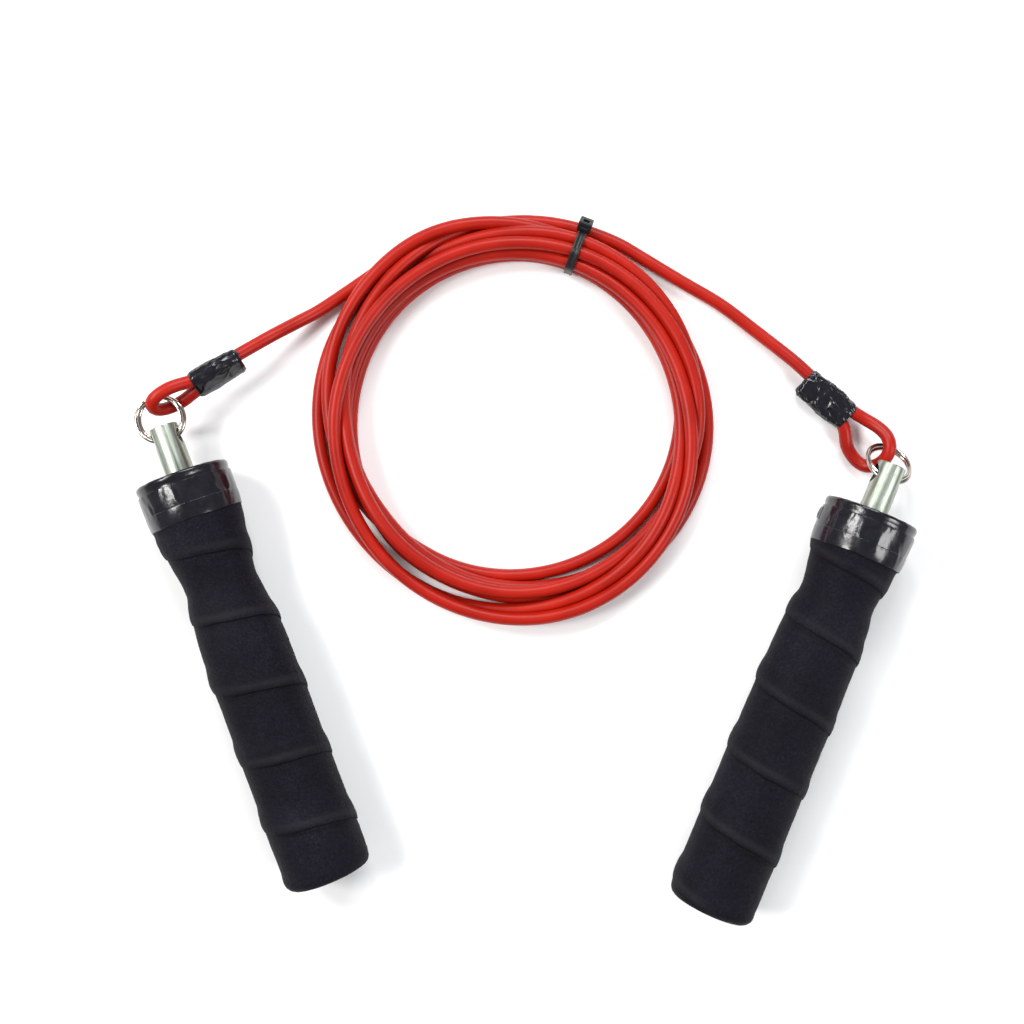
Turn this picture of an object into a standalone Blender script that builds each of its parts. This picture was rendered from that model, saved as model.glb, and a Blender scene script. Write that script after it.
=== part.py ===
"""Bearing jump rope, stored: two grip handles, split rings, a 5 mm cord in a tied coil.

Metres, +Z up.  The object lies on z = 0.  Run with
blender --background --python part.py
"""
import math

import bmesh
import bpy
from mathutils import Matrix, Vector

MM = 0.001

# ---------------------------------------------------------------- sizes (mm)
HANDLE_LENGTH = 160.0        # rim face to butt face
RIM_R = 17.8                 # taped head
GRIP_R = 16.6                # over the wrap
NECK_R = 13.7                # waist below the head
WRAP_T = 1.4                 # over-wrap thickness
GAP = 0.3                    # gap between parts that touch
SPINDLE_R = 5.4
SPINDLE_OUT = 19.4           # pin length outside the rim
SPINDLE_BEARING_R = 4.9      # stepped down inside the bearing
HOLE_BELOW_TIP = 5.2
HOLE_R = 3.0
RING_R = 8.45                # split ring, wire centre line
RING_WIRE_R = 0.75
RING_PITCH = 1.66
RING_SPLAY = -0.9             # the two turns sit a little aside of each other
RING_TURNS = 2
RING_OFFSET = 8.0            # hole centre to ring centre
BEARING_OUT_R = 11.0         # 10 x 22 x 6 ball bearing
BEARING_IN_R = 5.0
BEARING_W = 6.0
BALL_R = 1.7
BALL_CENTRE_R = 8.05
BALL_COUNT = 8
CORD_R = 2.5
COIL_IN_R = 56.8
COIL_OUT_R = 81.4
COIL_H = 12.6
TIE_W = 3.2
AXIS_Z = RIM_R               # height of both handle axes

# Plan layout is drawn about a point between the handles; this moves the
# origin to the middle of the handles' own box.
SHIFT_X = -5.473
SHIFT_Y = 54.592

# rim centre (x, y), unit vector from butt to pin tip
LEFT = {"rim": (-124.10, 13.91), "tip": (-0.3488, 0.9372), "tilt": 0.0}
RIGHT = {"rim": (135.11, -0.26), "tip": (0.3835, 0.9235), "tilt": 42.0}
COIL_CENTRE = (0.0, 35.0)
TIE_ANGLE = 70.0

# ---------------------------------------------------------------- scene
for ob in list(bpy.data.objects):
    bpy.data.objects.remove(ob, do_unlink=True)

PARTS = bpy.data.collections.new("jump_rope")
bpy.context.scene.collection.children.link(PARTS)
CUTTERS = bpy.data.collections.new("cutters")
bpy.context.scene.collection.children.link(CUTTERS)


def material(name, colour, rough, metal):
    m = bpy.data.materials.new(name)
    m.use_nodes = True
    b = m.node_tree.nodes["Principled BSDF"]
    b.inputs["Base Color"].default_value = (*colour, 1.0)
    b.inputs["Roughness"].default_value = rough
    b.inputs["Metallic"].default_value = metal
    return m


def link(ob, coll=PARTS):
    for c in list(ob.users_collection):
        c.objects.unlink(ob)
    coll.objects.link(ob)
    return ob


def paint(ob, name, colour, rough=0.5, metal=0.0):
    ob.data.materials.clear()
    ob.data.materials.append(material(name, colour, rough, metal))
    return ob


def hide_cutter(ob):
    ob.hide_render = True
    ob.display_type = "WIRE"
    return ob


def frame_empty(name, matrix):
    e = bpy.data.objects.new(name, None)
    e.empty_display_size = 0.01
    link(e)
    e.matrix_world = matrix
    return e


def turned(name, profile, steps, parent=None, matrix=None, coll=PARTS):
    """Revolve a closed (r, z) outline, in mm, about local Z."""
    bm = bmesh.new()
    vs = [bm.verts.new((r * MM, 0.0, z * MM)) for r, z in profile]
    on_axis = profile[0][0] == 0.0 and profile[-1][0] == 0.0
    for a, b in zip(vs, vs[1:]):
        bm.edges.new((a, b))
    if not on_axis:
        bm.edges.new((vs[-1], vs[0]))
    me = bpy.data.meshes.new(name)
    bm.to_mesh(me)
    bm.free()
    ob = bpy.data.objects.new(name, me)
    link(ob, coll)
    sc = ob.modifiers.new("revolve", "SCREW")
    sc.axis = "Z"
    sc.angle = math.tau
    sc.steps = steps
    sc.render_steps = steps
    sc.use_merge_vertices = True
    sc.merge_threshold = 0.00001
    sc.use_normal_calculate = False
    if parent is not None:
        ob.parent = parent
    if matrix is not None:
        ob.matrix_local = matrix
    return ob


def cut(ob, cutter, op="DIFFERENCE"):
    b = ob.modifiers.new("cut", "BOOLEAN")
    b.operation = op
    b.solver = "EXACT"
    b.object = cutter
    return b


def cylinder(name, radius, depth, matrix, segments=24, coll=CUTTERS, parent=None, r2=None):
    bm = bmesh.new()
    bmesh.ops.create_cone(bm, cap_ends=True, segments=segments, radius1=radius * MM,
                          radius2=(radius if r2 is None else r2) * MM, depth=depth * MM)
    me = bpy.data.meshes.new(name)
    bm.to_mesh(me)
    bm.free()
    ob = bpy.data.objects.new(name, me)
    link(ob, coll)
    if parent is not None:
        ob.parent = parent
    ob.matrix_local = matrix
    return ob


def box(name, size, matrix, coll=CUTTERS, parent=None, bevel=0.0):
    bm = bmesh.new()
    bmesh.ops.create_cube(bm, size=1.0)
    bmesh.ops.scale(bm, vec=[s * MM for s in size], verts=bm.verts)
    if bevel:
        bmesh.ops.bevel(bm, geom=list(bm.edges), offset=bevel * MM, segments=2,
                        profile=0.5, affect="EDGES")
    me = bpy.data.meshes.new(name)
    bm.to_mesh(me)
    bm.free()
    ob = bpy.data.objects.new(name, me)
    link(ob, coll)
    if parent is not None:
        ob.parent = parent
    ob.matrix_local = matrix
    return ob


def tube(name, points, radius, parent=None, res=2, coll=PARTS):
    cu = bpy.data.curves.new(name, "CURVE")
    cu.dimensions = "3D"
    cu.bevel_depth = radius * MM
    cu.bevel_resolution = res
    cu.use_fill_caps = True
    sp = cu.splines.new("POLY")
    sp.points.add(len(points) - 1)
    for p, q in zip(sp.points, points):
        p.co = (q[0] * MM, q[1] * MM, q[2] * MM, 1.0)
    ob = bpy.data.objects.new(name, cu)
    link(ob, coll)
    if parent is not None:
        ob.parent = parent
    return ob


def smooth_path(points, step):
    """Catmull-Rom through the control points, sampled about every step mm."""
    pts = [Vector(p) for p in points]
    pts = [pts[0] * 2 - pts[1]] + pts + [pts[-1] * 2 - pts[-2]]
    dense = []
    for i in range(1, len(pts) - 2):
        p0, p1, p2, p3 = pts[i - 1:i + 3]
        for k in range(24):
            t = k / 24.0
            dense.append(0.5 * ((2 * p1) + (p2 - p0) * t + (2 * p0 - 5 * p1 + 4 * p2 - p3) * t * t
                                + (3 * p1 - p0 - 3 * p2 + p3) * t ** 3))
    dense.append(pts[-2].copy())
    run = [0.0]
    for a, b in zip(dense, dense[1:]):
        run.append(run[-1] + (b - a).length)
    n = max(2, round(run[-1] / step))
    out, j = [], 0
    for k in range(n + 1):
        want = run[-1] * k / n
        while j < len(run) - 2 and run[j + 1] < want:
            j += 1
        f = 0.0 if run[j + 1] == run[j] else (want - run[j]) / (run[j + 1] - run[j])
        out.append(dense[j].lerp(dense[j + 1], min(1.0, f)))
    return out


def at(x, y, z=0.0):
    return (x + SHIFT_X, y + SHIFT_Y, z)


BLACK = (0.012, 0.012, 0.014)
RED = (0.60, 0.016, 0.012)
ZINC = (0.60, 0.62, 0.58)
NICKEL = (0.55, 0.52, 0.48)
STEEL = (0.45, 0.45, 0.46)


def handle(side, spec):
    """Everything that hangs on one handle axis; local +Z points out of the rim."""
    tip = Vector((spec["tip"][0], spec["tip"][1], 0.0)).normalized()
    across = Vector((0, 0, 1)).cross(tip).normalized() * -1.0
    up = tip.cross(across) * 1.0
    rot = Matrix((across, up, tip)).transposed().to_4x4()
    rim = Vector(at(*spec["rim"], AXIS_Z)) * MM
    base = Matrix.Translation(rim) @ rot
    spin = frame_empty("spin_axis_" + side, base)

    # --- handle core: flared head with the bearing seat, hollow grip tube
    core = [
        (BEARING_OUT_R + GAP, -GAP - 1.9), (16.4, -GAP - 1.9), (16.7, -3.0), (16.7, -11.0),
        (15.6, -17.0), (13.6, -26.0), (12.1, -36.0), (11.9, -42.0), (13.2, -52.0),
        (14.6, -66.0), (14.7, -HANDLE_LENGTH + 3.4), (12.6, -HANDLE_LENGTH + 3.4),
        (12.6, -62.0), (9.7, -46.0), (9.7, -24.6), (8.3, -24.6), (8.3, -9.2),
        (BEARING_OUT_R + GAP, -9.2)]
    paint(turned("handle_core_" + side, core, 24, spin), "core_" + side, (0.03, 0.03, 0.035), 0.45)

    # --- over-wrap sleeve on the grip
    outer = [(15.75, -21.5), (14.8, -31.5), (NECK_R, -38.5), (NECK_R, -42.0), (14.5, -47.0),
             (15.2, -54.0), (16.1, -63.0), (16.5, -73.0), (16.4, -96.0), (16.6, -116.0),
             (16.9, -133.0), (16.7, -151.0), (16.0, -158.0)]
    inner = [(15.1, -HANDLE_LENGTH + 2.6), (15.1, -66.0), (13.6, -52.0), (12.3, -42.2),
             (12.4, -36.2), (13.95, -26.0), (15.0, -21.5)]
    wrap = turned("grip_wrap_" + side, outer + inner, 24, spin)
    paint(wrap, "wrap_" + side, BLACK, 0.75)

    # --- vinyl band round the head
    band = [(17.1, 0.0), (RIM_R, -0.6), (RIM_R, -11.2), (16.9, -16.0), (16.2, -20.9),
            (15.3, -20.9), (16.0, -17.2), (17.05, -11.2), (17.05, -0.8)]
    paint(turned("neck_tape_" + side, band, 24, spin), "tape_" + side, BLACK, 0.18)

    # --- retainer plate over the bearing
    plate = [(SPINDLE_R + 0.45, -0.2), (16.6, -0.2), (16.6, -1.9), (SPINDLE_R + 0.45, -1.9)]
    paint(turned("retainer_plate_" + side, plate, 24, spin), "plate_" + side,
          (0.04, 0.04, 0.045), 0.35)

    # --- ball bearing
    zc = -2.5 - BEARING_W / 2
    g = BALL_R + 0.12
    h = BEARING_W / 2

    def groove(r_face, r_centre, sign):
        pts = []
        half = math.sqrt(max(0.0, g * g - (r_face - r_centre) ** 2))
        a0 = math.atan2(half, abs(r_face - r_centre))
        for k in range(5):
            a = -a0 + 2 * a0 * k / 4
            pts.append((r_centre + sign * g * math.cos(a), zc + g * math.sin(a)))
        return pts

    r_in, r_out = 7.1, 9.0
    inner_race = [(BEARING_IN_R + 0.2, zc + h), (r_in, zc + h)] + \
        groove(r_in, BALL_CENTRE_R, -1)[::-1] + [(r_in, zc - h), (BEARING_IN_R + 0.2, zc - h)]
    outer_race = [(BEARING_OUT_R, zc + h), (BEARING_OUT_R, zc - h), (r_out, zc - h)] + \
        groove(r_out, BALL_CENTRE_R, 1) + [(r_out, zc + h)]
    pin = frame_empty("pin_axis_" + side, base)
    balls_at = frame_empty("cage_axis_" + side, base)
    paint(turned("bearing_outer_race_" + side, outer_race, 20, spin), "race_o_" + side, STEEL, 0.25, 1.0)
    paint(turned("bearing_inner_race_" + side, inner_race, 20, pin), "race_i_" + side, STEEL, 0.25, 1.0)

    # balls held in their cage ring
    cage = turned("ball_cage_" + side, [(7.75, zc + 0.55), (8.35, zc + 0.55), (8.35, zc - 0.55),
                                        (7.75, zc - 0.55)], 24, balls_at)
    bm = bmesh.new()
    for k in range(BALL_COUNT):
        a = math.tau * (k + 0.37) / BALL_COUNT
        bmesh.ops.create_uvsphere(bm, u_segments=8, v_segments=5, radius=BALL_R * MM,
                                  matrix=Matrix.Translation((BALL_CENTRE_R * MM * math.cos(a),
                                                             BALL_CENTRE_R * MM * math.sin(a), zc * MM)))
    me = bpy.data.meshes.new("balls_" + side)
    bm.to_mesh(me)
    bm.free()
    balls = hide_cutter(link(bpy.data.objects.new("balls_" + side, me), CUTTERS))
    balls.parent = balls_at
    cut(cage, balls, "UNION")
    paint(cage, "cage_" + side, (0.5, 0.42, 0.2), 0.35, 1.0)

    # --- rear bush, thrust washer, circlip, end cap
    bush = [(SPINDLE_BEARING_R + 0.3, -9.6), (8.0, -9.6), (8.0, -24.3), (SPINDLE_BEARING_R + 0.3, -24.3)]
    paint(turned("rear_bush_" + side, bush, 16, spin), "bush_" + side, (0.75, 0.74, 0.68), 0.5)
    washer = [(SPINDLE_BEARING_R + 0.3, -24.95), (9.2, -24.95), (9.2, -26.1), (SPINDLE_BEARING_R + 0.3, -26.1)]
    paint(turned("thrust_washer_" + side, washer, 16, pin), "washer_" + side, STEEL, 0.3, 1.0)
    clip = turned("circlip_" + side, [(4.3, -26.4), (7.0, -26.4), (7.0, -27.4), (4.3, -27.4)], 24, pin)
    slot = hide_cutter(box("circlip_mouth_" + side, (4.0, 8.0, 3.0),
                           Matrix.Translation((0, 6.0 * MM, -26.9 * MM)), parent=pin))
    cut(clip, slot)
    paint(clip, "clip_" + side, (0.1, 0.1, 0.11), 0.35, 1.0)
    cap = [(0.0, -HANDLE_LENGTH + 10.0), (12.2, -HANDLE_LENGTH + 10.0), (12.2, -HANDLE_LENGTH + 3.1),
           (14.4, -HANDLE_LENGTH + 3.1), (14.7, -HANDLE_LENGTH + 2.3), (15.0, -HANDLE_LENGTH + 1.6),
           (14.4, -HANDLE_LENGTH + 0.5), (13.0, -HANDLE_LENGTH), (0.0, -HANDLE_LENGTH)]
    paint(turned("end_cap_" + side, cap, 24, spin), "cap_" + side, BLACK, 0.2)

    # --- spindle with the cross hole
    top = SPINDLE_OUT
    sp = [(0.0, top), (SPINDLE_R - 0.35, top), (SPINDLE_R, top - 0.35), (SPINDLE_R, -2.2),
          (SPINDLE_BEARING_R, -2.2), (SPINDLE_BEARING_R, -26.3), (4.0, -26.3), (4.0, -27.6),
          (SPINDLE_BEARING_R, -27.6), (SPINDLE_BEARING_R - 0.5, -30.5), (0.0, -30.5)]
    spindle = turned("spindle_" + side, sp, 32, pin)
    hole_z = SPINDLE_OUT - HOLE_BELOW_TIP
    lie = Matrix.Translation((0, 0, hole_z * MM)) @ Matrix.Rotation(math.pi / 2, 4, "Y")
    cut(spindle, hide_cutter(cylinder("cross_hole_" + side, HOLE_R, 20.0, lie, 24, parent=pin)))
    paint(spindle, "spindle_" + side, ZINC, 0.28, 1.0)

    # --- split ring: two turns of spring wire through the cross hole
    hole = base @ Vector((0, 0, hole_z * MM))
    ring_rot = rot @ Matrix.Rotation(math.radians(-spec["tilt"]), 4, "X")
    along = (ring_rot @ Vector((0, 0, 1))).normalized()
    centre = hole + along * RING_OFFSET * MM
    ring_frame = Matrix.Translation(centre) @ ring_rot @ Matrix.Rotation(math.pi / 2, 4, "X")
    ring_at = frame_empty("ring_axis_" + side, ring_frame)
    pts = []
    n = 28 * RING_TURNS
    gap = math.radians(15.0)                 # the two ends stop short of the crossing
    span = math.tau * RING_TURNS - 2 * gap
    for k in range(n + 1):
        a = gap + span * k / n
        f = min(1.0, max(0.0, (a - (math.tau - gap)) / (2 * gap)))
        f = f * f * (3 - 2 * f)
        pts.append((RING_R * math.cos(a + 1.75) + RING_SPLAY * (f - 0.5), RING_R * math.sin(a + 1.75),
                    RING_PITCH * (f - 0.5)))
    ring = tube("split_ring_" + side, pts, RING_WIRE_R, ring_at, res=1)
    paint(ring, "ring_" + side, NICKEL, 0.22, 1.0)
    return base, rot, hole, centre


L_BASE, L_ROT, L_HOLE, L_RING = handle("left", LEFT)
R_BASE, R_ROT, R_HOLE, R_RING = handle("right", RIGHT)

# ---------------------------------------------------------------- cord
# Left eye: a loop standing on edge; its end passes through the split ring.
# Local frame: T runs from the sleeve towards the ring, P to the left of it.
L_EYE0 = Vector((-119.4, 47.4, 0.0))
L_T = Vector((-0.900, -0.434, 0.0))
L_P = Vector((-0.434, 0.900, 0.0))
LS_T = Vector((-0.855, -0.518, 0.0))       # along the sleeve
LS_P = Vector((-0.518, 0.855, 0.0))
SLEEVE_L = 20.0
L_SLOPE = 0.12
STRAND = 2.56                              # half the spacing of the two strands in a sleeve
L_ROLL = math.radians(55.0)


def left_pt(t, p, dz):
    if t < 0:
        q = L_EYE0 + LS_T * t + LS_P * p
        z = 17.3 + L_SLOPE * t
    else:
        q = L_EYE0 + L_T * t + L_P * p
        z = 17.3 + 0.5 * min(1.0, t / 9.0)
    return at(q.x, q.y, z + dz)


def left_strand(t, s):
    return left_pt(t, s * STRAND * math.cos(L_ROLL), s * STRAND * math.sin(L_ROLL))


LEFT_EYE = [
    left_pt(-SLEEVE_L - 7.0, 0.0, 0.1), left_pt(-SLEEVE_L - 2.5, 0.35, 0.5), left_pt(-17.0, 1.15, 1.65),
    left_strand(-14.0, 1), left_strand(-8.0, 1), left_strand(-3.0, 1), left_pt(0.5, 1.55, 2.3),
    left_pt(3.0, 2.0, 3.0), left_pt(6.0, 2.35, 3.9), left_pt(9.0, 2.3, 4.5), left_pt(12.0, 1.9, 4.75),
    left_pt(14.2, 1.45, 4.7), left_pt(16.2, 0.6, 4.1), left_pt(17.1, -0.5, 2.7), left_pt(17.0, -1.6, 1.0),
    left_pt(16.0, -2.35, -0.9), left_pt(14.3, -2.75, -2.8), left_pt(12.0, -2.85, -4.2),
    left_pt(9.0, -2.75, -4.8), left_pt(6.0, -2.5, -4.4), left_pt(3.0, -2.0, -3.2), left_pt(0.5, -1.6, -2.3),
    left_strand(-3.0, -1), left_strand(-8.0, -1), left_strand(-13.0, -1), left_strand(-17.0, -1)]

# Right eye: a loop lying flat; one side over the low rim of the ring, the other under it.
R_SLV_T = Vector((0.764, -0.645, 0.0))
R_SLV_P = Vector((0.645, 0.764, 0.0))
R_EYE0 = Vector((129.0, 36.3, 5.6))
SLEEVE_R = 22.0
R_ROLL = math.radians(15.0)


def right_pt(t, p, dz):
    q = R_EYE0 + R_SLV_T * t + R_SLV_P * p
    return at(q.x, q.y, q.z + dz)


def right_strand(t, s):
    return right_pt(t, s * STRAND * math.cos(R_ROLL), s * STRAND * math.sin(R_ROLL))


RIGHT_EYE = [
    right_pt(-SLEEVE_R - 7.0, 1.9, -0.4), right_pt(-SLEEVE_R - 2.5, 2.2, 0.1), right_strand(-18.0, 1),
    right_strand(-12.0, 1), right_strand(-7.0, 1), right_strand(-2.5, 1), right_pt(1.0, 2.9, 0.8),
    at(135.2, 35.6, 6.6), at(138.9, 33.2, 7.8), at(141.9, 30.3, 9.6), at(143.3, 27.3, 11.1),
    at(143.6, 24.4, 11.6), at(143.0, 21.6, 10.6), at(141.4, 19.2, 8.4), at(139.0, 17.6, 6.0),
    at(136.2, 17.5, 4.1), at(133.5, 19.0, 3.2), at(131.0, 22.0, 3.0), at(128.9, 26.0, 3.3),
    right_pt(3.4, -5.0, -1.2), right_pt(0.2, -3.0, -0.7), right_strand(-3.5, -1), right_strand(-7.5, -1), right_strand(-12.0, -1),
    right_strand(-18.5, -1)]

paint(tube("cord_left_eye", smooth_path(LEFT_EYE, 1.8), CORD_R, res=2), "cord_le", RED, 0.35)
paint(tube("cord_right_eye", smooth_path(RIGHT_EYE, 1.8), CORD_R, res=2), "cord_re", RED, 0.35)

# tails from the eyes to the coil
LEFT_TAIL = [left_pt(-SLEEVE_L - 7.35, 0.0, 0.1), left_pt(-SLEEVE_L - 14.0, -0.3, -0.2),
             at(-88.0, 68.0, 9.4), at(-80.0, 73.7, 6.2), at(-73.4, 78.2, 4.4)]
RIGHT_TAIL = [right_pt(-SLEEVE_R - 7.35, 1.87, -0.42), right_pt(-SLEEVE_R - 14.0, 1.4, -1.2),
              at(93.8, 69.6, 3.4), at(80.0, 80.0, 3.2), at(65.6, 88.3, 4.4)]
paint(tube("cord_left_tail", smooth_path(LEFT_TAIL, 4.0), CORD_R), "cord_lt", RED, 0.35)
paint(tube("cord_right_tail", smooth_path(RIGHT_TAIL, 4.0), CORD_R), "cord_rt", RED, 0.35)

# stored coil: outer shape of the turns, waisted where the tie goes round
coil_at = Matrix.Translation(Vector(at(*COIL_CENTRE)) * MM)
ring = [(COIL_IN_R, 8.0), (COIL_IN_R + 2.2, COIL_H), (COIL_OUT_R - 4.0, COIL_H), (COIL_OUT_R, 8.0),
        (COIL_OUT_R, 2.0), (COIL_OUT_R - 2.0, 0.05), (COIL_IN_R + 2.0, 0.05), (COIL_IN_R, 2.0)]
coil = turned("cord_coil", ring, 48, matrix=coil_at)
tie_rot = Matrix.Rotation(math.radians(TIE_ANGLE), 4, "Z")
TIE_R = (62.2, 80.2)          # strap inner faces, radius from the coil centre
TIE_Z = (1.8, 13.2)           # strap inner faces, height
TIE_T = 1.3
tie_mid = ((TIE_R[0] + TIE_R[1]) / 2, (TIE_Z[0] + TIE_Z[1]) / 2)
tie_size = (TIE_R[1] - TIE_R[0], TIE_Z[1] - TIE_Z[0])


def tie_matrix(r, z):
    return coil_at @ tie_rot @ Matrix.Translation((r * MM, 0.0, z * MM))


waist = box("coil_waist_outer", (60.0, TIE_W + 1.4, 30.0), tie_matrix(tie_mid[0], 8.0))
core_box = hide_cutter(box("coil_waist_core", (tie_size[0] - 0.7, TIE_W + 3.0, tie_size[1] - 0.7),
                           tie_matrix(*tie_mid), bevel=1.5))
cut(waist, core_box)
cut(coil, hide_cutter(waist))
paint(coil, "cord_coil", RED, 0.35)

strap = box("cable_tie", (tie_size[0] + 2 * TIE_T, TIE_W, tie_size[1] + 2 * TIE_T), tie_matrix(*tie_mid),
            coll=PARTS)
cut(strap, hide_cutter(box("tie_inside", (tie_size[0], TIE_W + 4.0, tie_size[1]), tie_matrix(*tie_mid))))
head = hide_cutter(box("tie_head", (4.6, 5.3, 5.4), tie_matrix(TIE_R[1] + 2.9, TIE_Z[1] - 1.6)))
cut(strap, head, "UNION")
paint(strap, "tie", BLACK, 0.4)


def oval_sleeve(name, half_w, half_h, wall, length, matrix, colour, rough, metal=0.0):
    """Oval tube along local Z: wide in X, low in Y."""
    s = Matrix.Diagonal((half_w * MM, half_h * MM, length * MM, 1.0))
    si = Matrix.Diagonal(((half_w - wall) * MM, (half_h - wall) * MM, length * 2 * MM, 1.0))

    def body(nm, mat, coll):
        bm = bmesh.new()
        bmesh.ops.create_cone(bm, cap_ends=True, segments=32, radius1=1.0, radius2=1.0, depth=1.0)
        for v in bm.verts:                      # fuller than an ellipse: strands lie side by side
            a = math.atan2(v.co.y, v.co.x)
            c, d = math.cos(a), math.sin(a)
            v.co.x = math.copysign(abs(c) ** 0.72, c)
            v.co.y = math.copysign(abs(d) ** 0.72, d)
        bmesh.ops.transform(bm, matrix=mat, verts=bm.verts)
        me = bpy.data.meshes.new(nm)
        bm.to_mesh(me)
        bm.free()
        return link(bpy.data.objects.new(nm, me), coll)

    ob = body(name, s, PARTS)
    inner = hide_cutter(body(name + "_bore", si, CUTTERS))
    ob.matrix_world = matrix
    inner.matrix_world = matrix
    cut(ob, inner)
    paint(ob, name, colour, rough, metal)
    return ob


def lay_along(origin, direction, p, roll):
    """Local Z along the strands, local X across the pair."""
    d = direction.normalized()
    x = (p * math.cos(roll) + Vector((0, 0, 1)) * math.sin(roll))
    x = (x - d * x.dot(d)).normalized()
    return Matrix.Translation(Vector(origin) * MM) @ Matrix((x, d.cross(x), d)).transposed().to_4x4()


SLEEVES = (
    ("left", Vector(left_pt(-SLEEVE_L / 2, 0, 0)), Vector((LS_T.x, LS_T.y, L_SLOPE)), LS_P, L_ROLL, SLEEVE_L,
     Vector(left_pt(-8.5, 0, 0))),
    ("right", Vector(right_pt(-SLEEVE_R / 2, 0, 0)), R_SLV_T, R_SLV_P, R_ROLL, SLEEVE_R,
     Vector(right_pt(-9.5, 0, 0))))
for nm, mid, direction, p, roll, length, crimp in SLEEVES:
    oval_sleeve("crimp_ferrule_" + nm, 5.72, 3.17, 0.4, 9.0, lay_along(crimp, direction, p, roll),
                (0.6, 0.6, 0.6), 0.35, 1.0)
    oval_sleeve("tape_sleeve_" + nm, 6.3, 3.75, 0.38, length, lay_along(mid, direction, p, roll), BLACK, 0.2)

bpy.context.view_layer.update()


def report():
    """World box of the handles, and the joint points, in metres."""
    dg = bpy.context.evaluated_depsgraph_get()
    lo, hi = Vector((9, 9, 9)), Vector((-9, -9, -9))
    for ob in PARTS.objects:
        if ob.type == "EMPTY" or ob.name.startswith(("cord", "crimp", "tape_s", "cable")):
            continue
        ev = ob.evaluated_get(dg)
        me = ev.to_mesh()
        for v in me.vertices:
            w = ev.matrix_world @ v.co
            for i in range(3):
                lo[i] = min(lo[i], w[i])
                hi[i] = max(hi[i], w[i])
        ev.to_mesh_clear()
    print("HANDLE BOX", [round(c, 6) for c in lo], [round(c, 6) for c in hi],
          "CENTRE", [round((a + b) / 2, 6) for a, b in zip(lo, hi)])
    for nm, base, hole, ringc in (("left", L_BASE, L_HOLE, L_RING), ("right", R_BASE, R_HOLE, R_RING)):
        print(nm, "rim", [round(c, 6) for c in base.translation], "hole", [round(c, 6) for c in hole],
              "ring", [round(c, 6) for c in ringc], "axis", [round(c, 6) for c in base.col[2][:3]],
              "across", [round(c, 6) for c in base.col[0][:3]])


report()
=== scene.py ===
import math

import bmesh
import bpy
import numpy as np
from mathutils import Matrix, Vector, noise


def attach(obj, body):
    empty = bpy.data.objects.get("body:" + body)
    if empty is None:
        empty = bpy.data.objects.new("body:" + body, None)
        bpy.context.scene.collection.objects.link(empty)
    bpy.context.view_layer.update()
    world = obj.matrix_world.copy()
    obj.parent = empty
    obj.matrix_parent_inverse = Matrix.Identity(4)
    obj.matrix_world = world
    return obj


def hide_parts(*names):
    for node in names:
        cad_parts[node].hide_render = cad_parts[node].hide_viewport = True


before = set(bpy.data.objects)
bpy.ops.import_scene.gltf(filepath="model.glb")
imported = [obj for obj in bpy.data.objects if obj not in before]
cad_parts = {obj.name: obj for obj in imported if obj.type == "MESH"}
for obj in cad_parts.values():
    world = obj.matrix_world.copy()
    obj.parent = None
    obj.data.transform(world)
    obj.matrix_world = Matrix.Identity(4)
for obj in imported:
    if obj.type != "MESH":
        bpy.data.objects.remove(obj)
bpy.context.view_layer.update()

MM = 0.001
SHIFT = (-5.473, 54.592)
CAM_H = 520.0
AXIS_Z = 17.8
CORD_D = 5.0
SIDES = {
    "left": {"rim": (-124.10, 13.91), "tip": (-0.3488, 0.9372), "tilt": 0.0},
    "right": {"rim": (135.11, -0.26), "tip": (0.3835, 0.9235), "tilt": 42.0},
}


def at(x, y, z=0.0):
    return (x + SHIFT[0], y + SHIFT[1], z)


# ------------------------------------------------------------------ camera
cam_data = bpy.data.cameras.new("cam")
cam_data.sensor_width = 36.0
cam_data.lens = 36.0 * CAM_H / (1024 * 0.3883)
cam_data.clip_start = 0.01
cam = bpy.data.objects.new("cam", cam_data)
bpy.context.scene.collection.objects.link(cam)
cam.location = (SHIFT[0] * MM, SHIFT[1] * MM, CAM_H * MM)
cam.rotation_euler = (0.0, 0.0, 0.0)
bpy.context.scene.camera = cam


# ------------------------------------------------------------------ helpers
def mesh_object(name, verts, faces, smooth=True):
    me = bpy.data.meshes.new(name)
    me.from_pydata([tuple(v) for v in verts], [], [tuple(f) for f in faces])
    me.validate()
    me.update()
    if smooth:
        me.polygons.foreach_set("use_smooth", [True] * len(me.polygons))
    ob = bpy.data.objects.new(name, me)
    bpy.context.scene.collection.objects.link(ob)
    return ob


def fix_normals(ob):
    bm = bmesh.new()
    bm.from_mesh(ob.data)
    bmesh.ops.remove_doubles(bm, verts=bm.verts, dist=1e-7)
    bmesh.ops.recalc_face_normals(bm, faces=bm.faces)
    bm.to_mesh(ob.data)
    bm.free()
    ob.data.update()
    return ob


def handle_frame(side):
    tx, ty = SIDES[side]["tip"]
    tip = Vector((tx, ty, 0.0)).normalized()
    up = Vector((0, 0, 1))
    right = tip.cross(up).normalized()
    rim = Vector(at(*SIDES[side]["rim"], AXIS_Z))
    return rim, tip, up, right


def to_handle(side, r, phi, s):
    """r, s in mm; s from the rim towards the butt; phi from the left flank over the top to the right one."""
    rim, tip, up, right = HF[side]
    p = rim - tip * s + (right * (-math.cos(phi)) + up * math.sin(phi)) * r
    return p * MM


HF = {s: handle_frame(s) for s in SIDES}


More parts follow.
